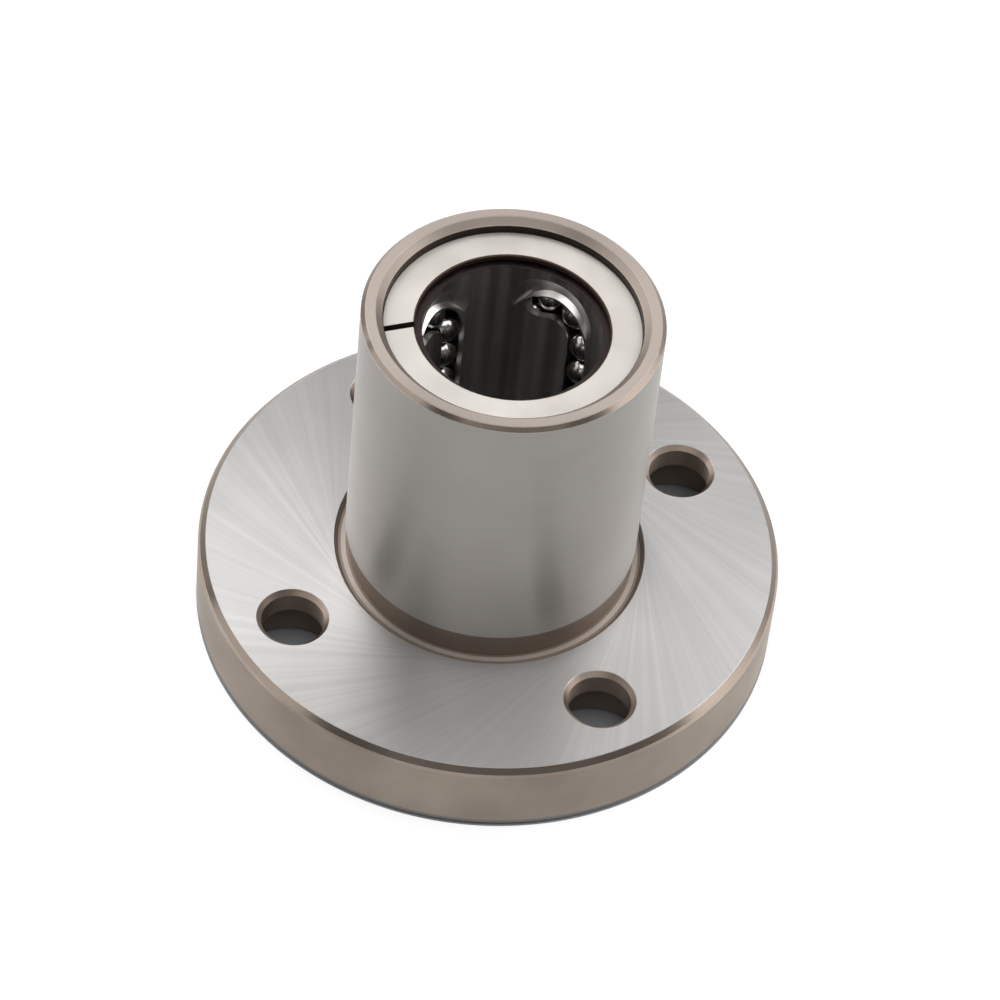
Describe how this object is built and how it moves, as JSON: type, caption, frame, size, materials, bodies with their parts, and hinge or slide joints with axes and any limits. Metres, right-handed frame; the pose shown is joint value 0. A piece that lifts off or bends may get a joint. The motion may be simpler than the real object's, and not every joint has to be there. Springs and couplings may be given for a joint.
{
  "type": "flanged linear bushing",
  "caption": "Round-flanged steel linear bushing: recirculating balls in a pressed retainer carry a straight shaft, and the flange bolts to a housing face.",
  "frame": {"origin": "on the bushing's axis, in the flange's end face, which is the lowest face", "axes": "+Z along the axis from the flange's end face to the sleeve's free end; +X and +Y each point midway between two bolt holes"},
  "size_m": [0.042, 0.042, 0.03],
  "materials": {
    "ground_bearing_steel": "ground outside and on the flange face, brown heat tint where it was only turned",
    "pressed_steel": "dark pressed sheet, slightly glossy",
    "blanked_steel": "pale satin, blanked and flattened",
    "polished_balls": "lapped and polished"
  },
  "bodies": {
    "bushing": {"flanged_sleeve": "ground_bearing_steel", "ball_retainer": "pressed_steel", "front_retaining_ring": "blanked_steel", "rear_retaining_ring": "blanked_steel"},
    "circuit_1_load_balls": {"circuit_1_load_balls": "polished_balls"},
    "circuit_1_front_turn_balls": {"circuit_1_front_turn_balls": "polished_balls"},
    "circuit_1_return_balls": {"circuit_1_return_balls": "polished_balls"},
    "circuit_1_rear_turn_balls": {"circuit_1_rear_turn_balls": "polished_balls"},
    "circuit_2_load_balls": {"circuit_2_load_balls": "polished_balls"},
    "circuit_2_front_turn_balls": {"circuit_2_front_turn_balls": "polished_balls"},
    "circuit_2_return_balls": {"circuit_2_return_balls": "polished_balls"},
    "circuit_2_rear_turn_balls": {"circuit_2_rear_turn_balls": "polished_balls"},
    "circuit_3_load_balls": {"circuit_3_load_balls": "polished_balls"},
    "circuit_3_front_turn_balls": {"circuit_3_front_turn_balls": "polished_balls"},
    "circuit_3_return_balls": {"circuit_3_return_balls": "polished_balls"},
    "circuit_3_rear_turn_balls": {"circuit_3_rear_turn_balls": "polished_balls"},
    "circuit_4_load_balls": {"circuit_4_load_balls": "polished_balls"},
    "circuit_4_front_turn_balls": {"circuit_4_front_turn_balls": "polished_balls"},
    "circuit_4_return_balls": {"circuit_4_return_balls": "polished_balls"},
    "circuit_4_rear_turn_balls": {"circuit_4_rear_turn_balls": "polished_balls"}
  },
  "joints": [
    {"name": "circuit_1_load_travel", "type": "slide", "parent": "bushing", "child": "circuit_1_load_balls", "axis": [0, 0, 1], "range_m": [0, 0.00253]},
    {"name": "circuit_1_front_turn_travel", "type": "hinge", "parent": "bushing", "child": "circuit_1_front_turn_balls", "pos_m": [0.00196, 0.00692, 0.0226], "axis": [-0.427, -0.8906, 0.1564], "range_deg": [0, 60.03]},
    {"name": "circuit_1_return_travel", "type": "slide", "parent": "bushing", "child": "circuit_1_return_balls", "axis": [0, 0, -1], "range_m": [0, 0.00253]},
    {"name": "circuit_1_rear_turn_travel", "type": "hinge", "parent": "bushing", "child": "circuit_1_rear_turn_balls", "pos_m": [0.00196, 0.00692, 0.0074], "axis": [-0.427, -0.8906, -0.1564], "range_deg": [0, 60.03]},
    {"name": "circuit_2_load_travel", "type": "slide", "parent": "bushing", "child": "circuit_2_load_balls", "axis": [0, 0, 1], "range_m": [0, 0.00253]},
    {"name": "circuit_2_front_turn_travel", "type": "hinge", "parent": "bushing", "child": "circuit_2_front_turn_balls", "pos_m": [-0.00692, 0.00196, 0.0226], "axis": [0.8906, -0.427, 0.1564], "range_deg": [0, 60.03]},
    {"name": "circuit_2_return_travel", "type": "slide", "parent": "bushing", "child": "circuit_2_return_balls", "axis": [0, 0, -1], "range_m": [0, 0.00253]},
    {"name": "circuit_2_rear_turn_travel", "type": "hinge", "parent": "bushing", "child": "circuit_2_rear_turn_balls", "pos_m": [-0.00692, 0.00196, 0.0074], "axis": [0.8906, -0.427, -0.1564], "range_deg": [0, 60.03]},
    {"name": "circuit_3_load_travel", "type": "slide", "parent": "bushing", "child": "circuit_3_load_balls", "axis": [0, 0, 1], "range_m": [0, 0.00253]},
    {"name": "circuit_3_front_turn_travel", "type": "hinge", "parent": "bushing", "child": "circuit_3_front_turn_balls", "pos_m": [-0.00196, -0.00692, 0.0226], "axis": [0.427, 0.8906, 0.1564], "range_deg": [0, 60.03]},
    {"name": "circuit_3_return_travel", "type": "slide", "parent": "bushing", "child": "circuit_3_return_balls", "axis": [0, 0, -1], "range_m": [0, 0.00253]},
    {"name": "circuit_3_rear_turn_travel", "type": "hinge", "parent": "bushing", "child": "circuit_3_rear_turn_balls", "pos_m": [-0.00196, -0.00692, 0.0074], "axis": [0.427, 0.8906, -0.1564], "range_deg": [0, 60.03]},
    {"name": "circuit_4_load_travel", "type": "slide", "parent": "bushing", "child": "circuit_4_load_balls", "axis": [0, 0, 1], "range_m": [0, 0.00253]},
    {"name": "circuit_4_front_turn_travel", "type": "hinge", "parent": "bushing", "child": "circuit_4_front_turn_balls", "pos_m": [0.00692, -0.00196, 0.0226], "axis": [-0.8906, 0.427, 0.1564], "range_deg": [0, 60.03]},
    {"name": "circuit_4_return_travel", "type": "slide", "parent": "bushing", "child": "circuit_4_return_balls", "axis": [0, 0, -1], "range_m": [0, 0.00253]},
    {"name": "circuit_4_rear_turn_travel", "type": "hinge", "parent": "bushing", "child": "circuit_4_rear_turn_balls", "pos_m": [0.00692, -0.00196, 0.0074], "axis": [-0.8906, 0.427, -0.1564], "range_deg": [0, 60.03]}
  ],
  "couplings": [
    {"joint": "circuit_1_front_turn_travel", "follows": "circuit_1_load_travel", "rad_per_m": 413.39},
    {"joint": "circuit_1_return_travel", "follows": "circuit_1_load_travel", "ratio": 1},
    {"joint": "circuit_1_rear_turn_travel", "follows": "circuit_1_load_travel", "rad_per_m": 413.39},
    {"joint": "circuit_2_front_turn_travel", "follows": "circuit_2_load_travel", "rad_per_m": 413.39},
    {"joint": "circuit_2_return_travel", "follows": "circuit_2_load_travel", "ratio": 1},
    {"joint": "circuit_2_rear_turn_travel", "follows": "circuit_2_load_travel", "rad_per_m": 413.39},
    {"joint": "circuit_3_front_turn_travel", "follows": "circuit_3_load_travel", "rad_per_m": 413.39},
    {"joint": "circuit_3_return_travel", "follows": "circuit_3_load_travel", "ratio": 1},
    {"joint": "circuit_3_rear_turn_travel", "follows": "circuit_3_load_travel", "rad_per_m": 413.39},
    {"joint": "circuit_4_front_turn_travel", "follows": "circuit_4_load_travel", "rad_per_m": 413.39},
    {"joint": "circuit_4_return_travel", "follows": "circuit_4_load_travel", "ratio": 1},
    {"joint": "circuit_4_rear_turn_travel", "follows": "circuit_4_load_travel", "rad_per_m": 413.39}
  ]
}
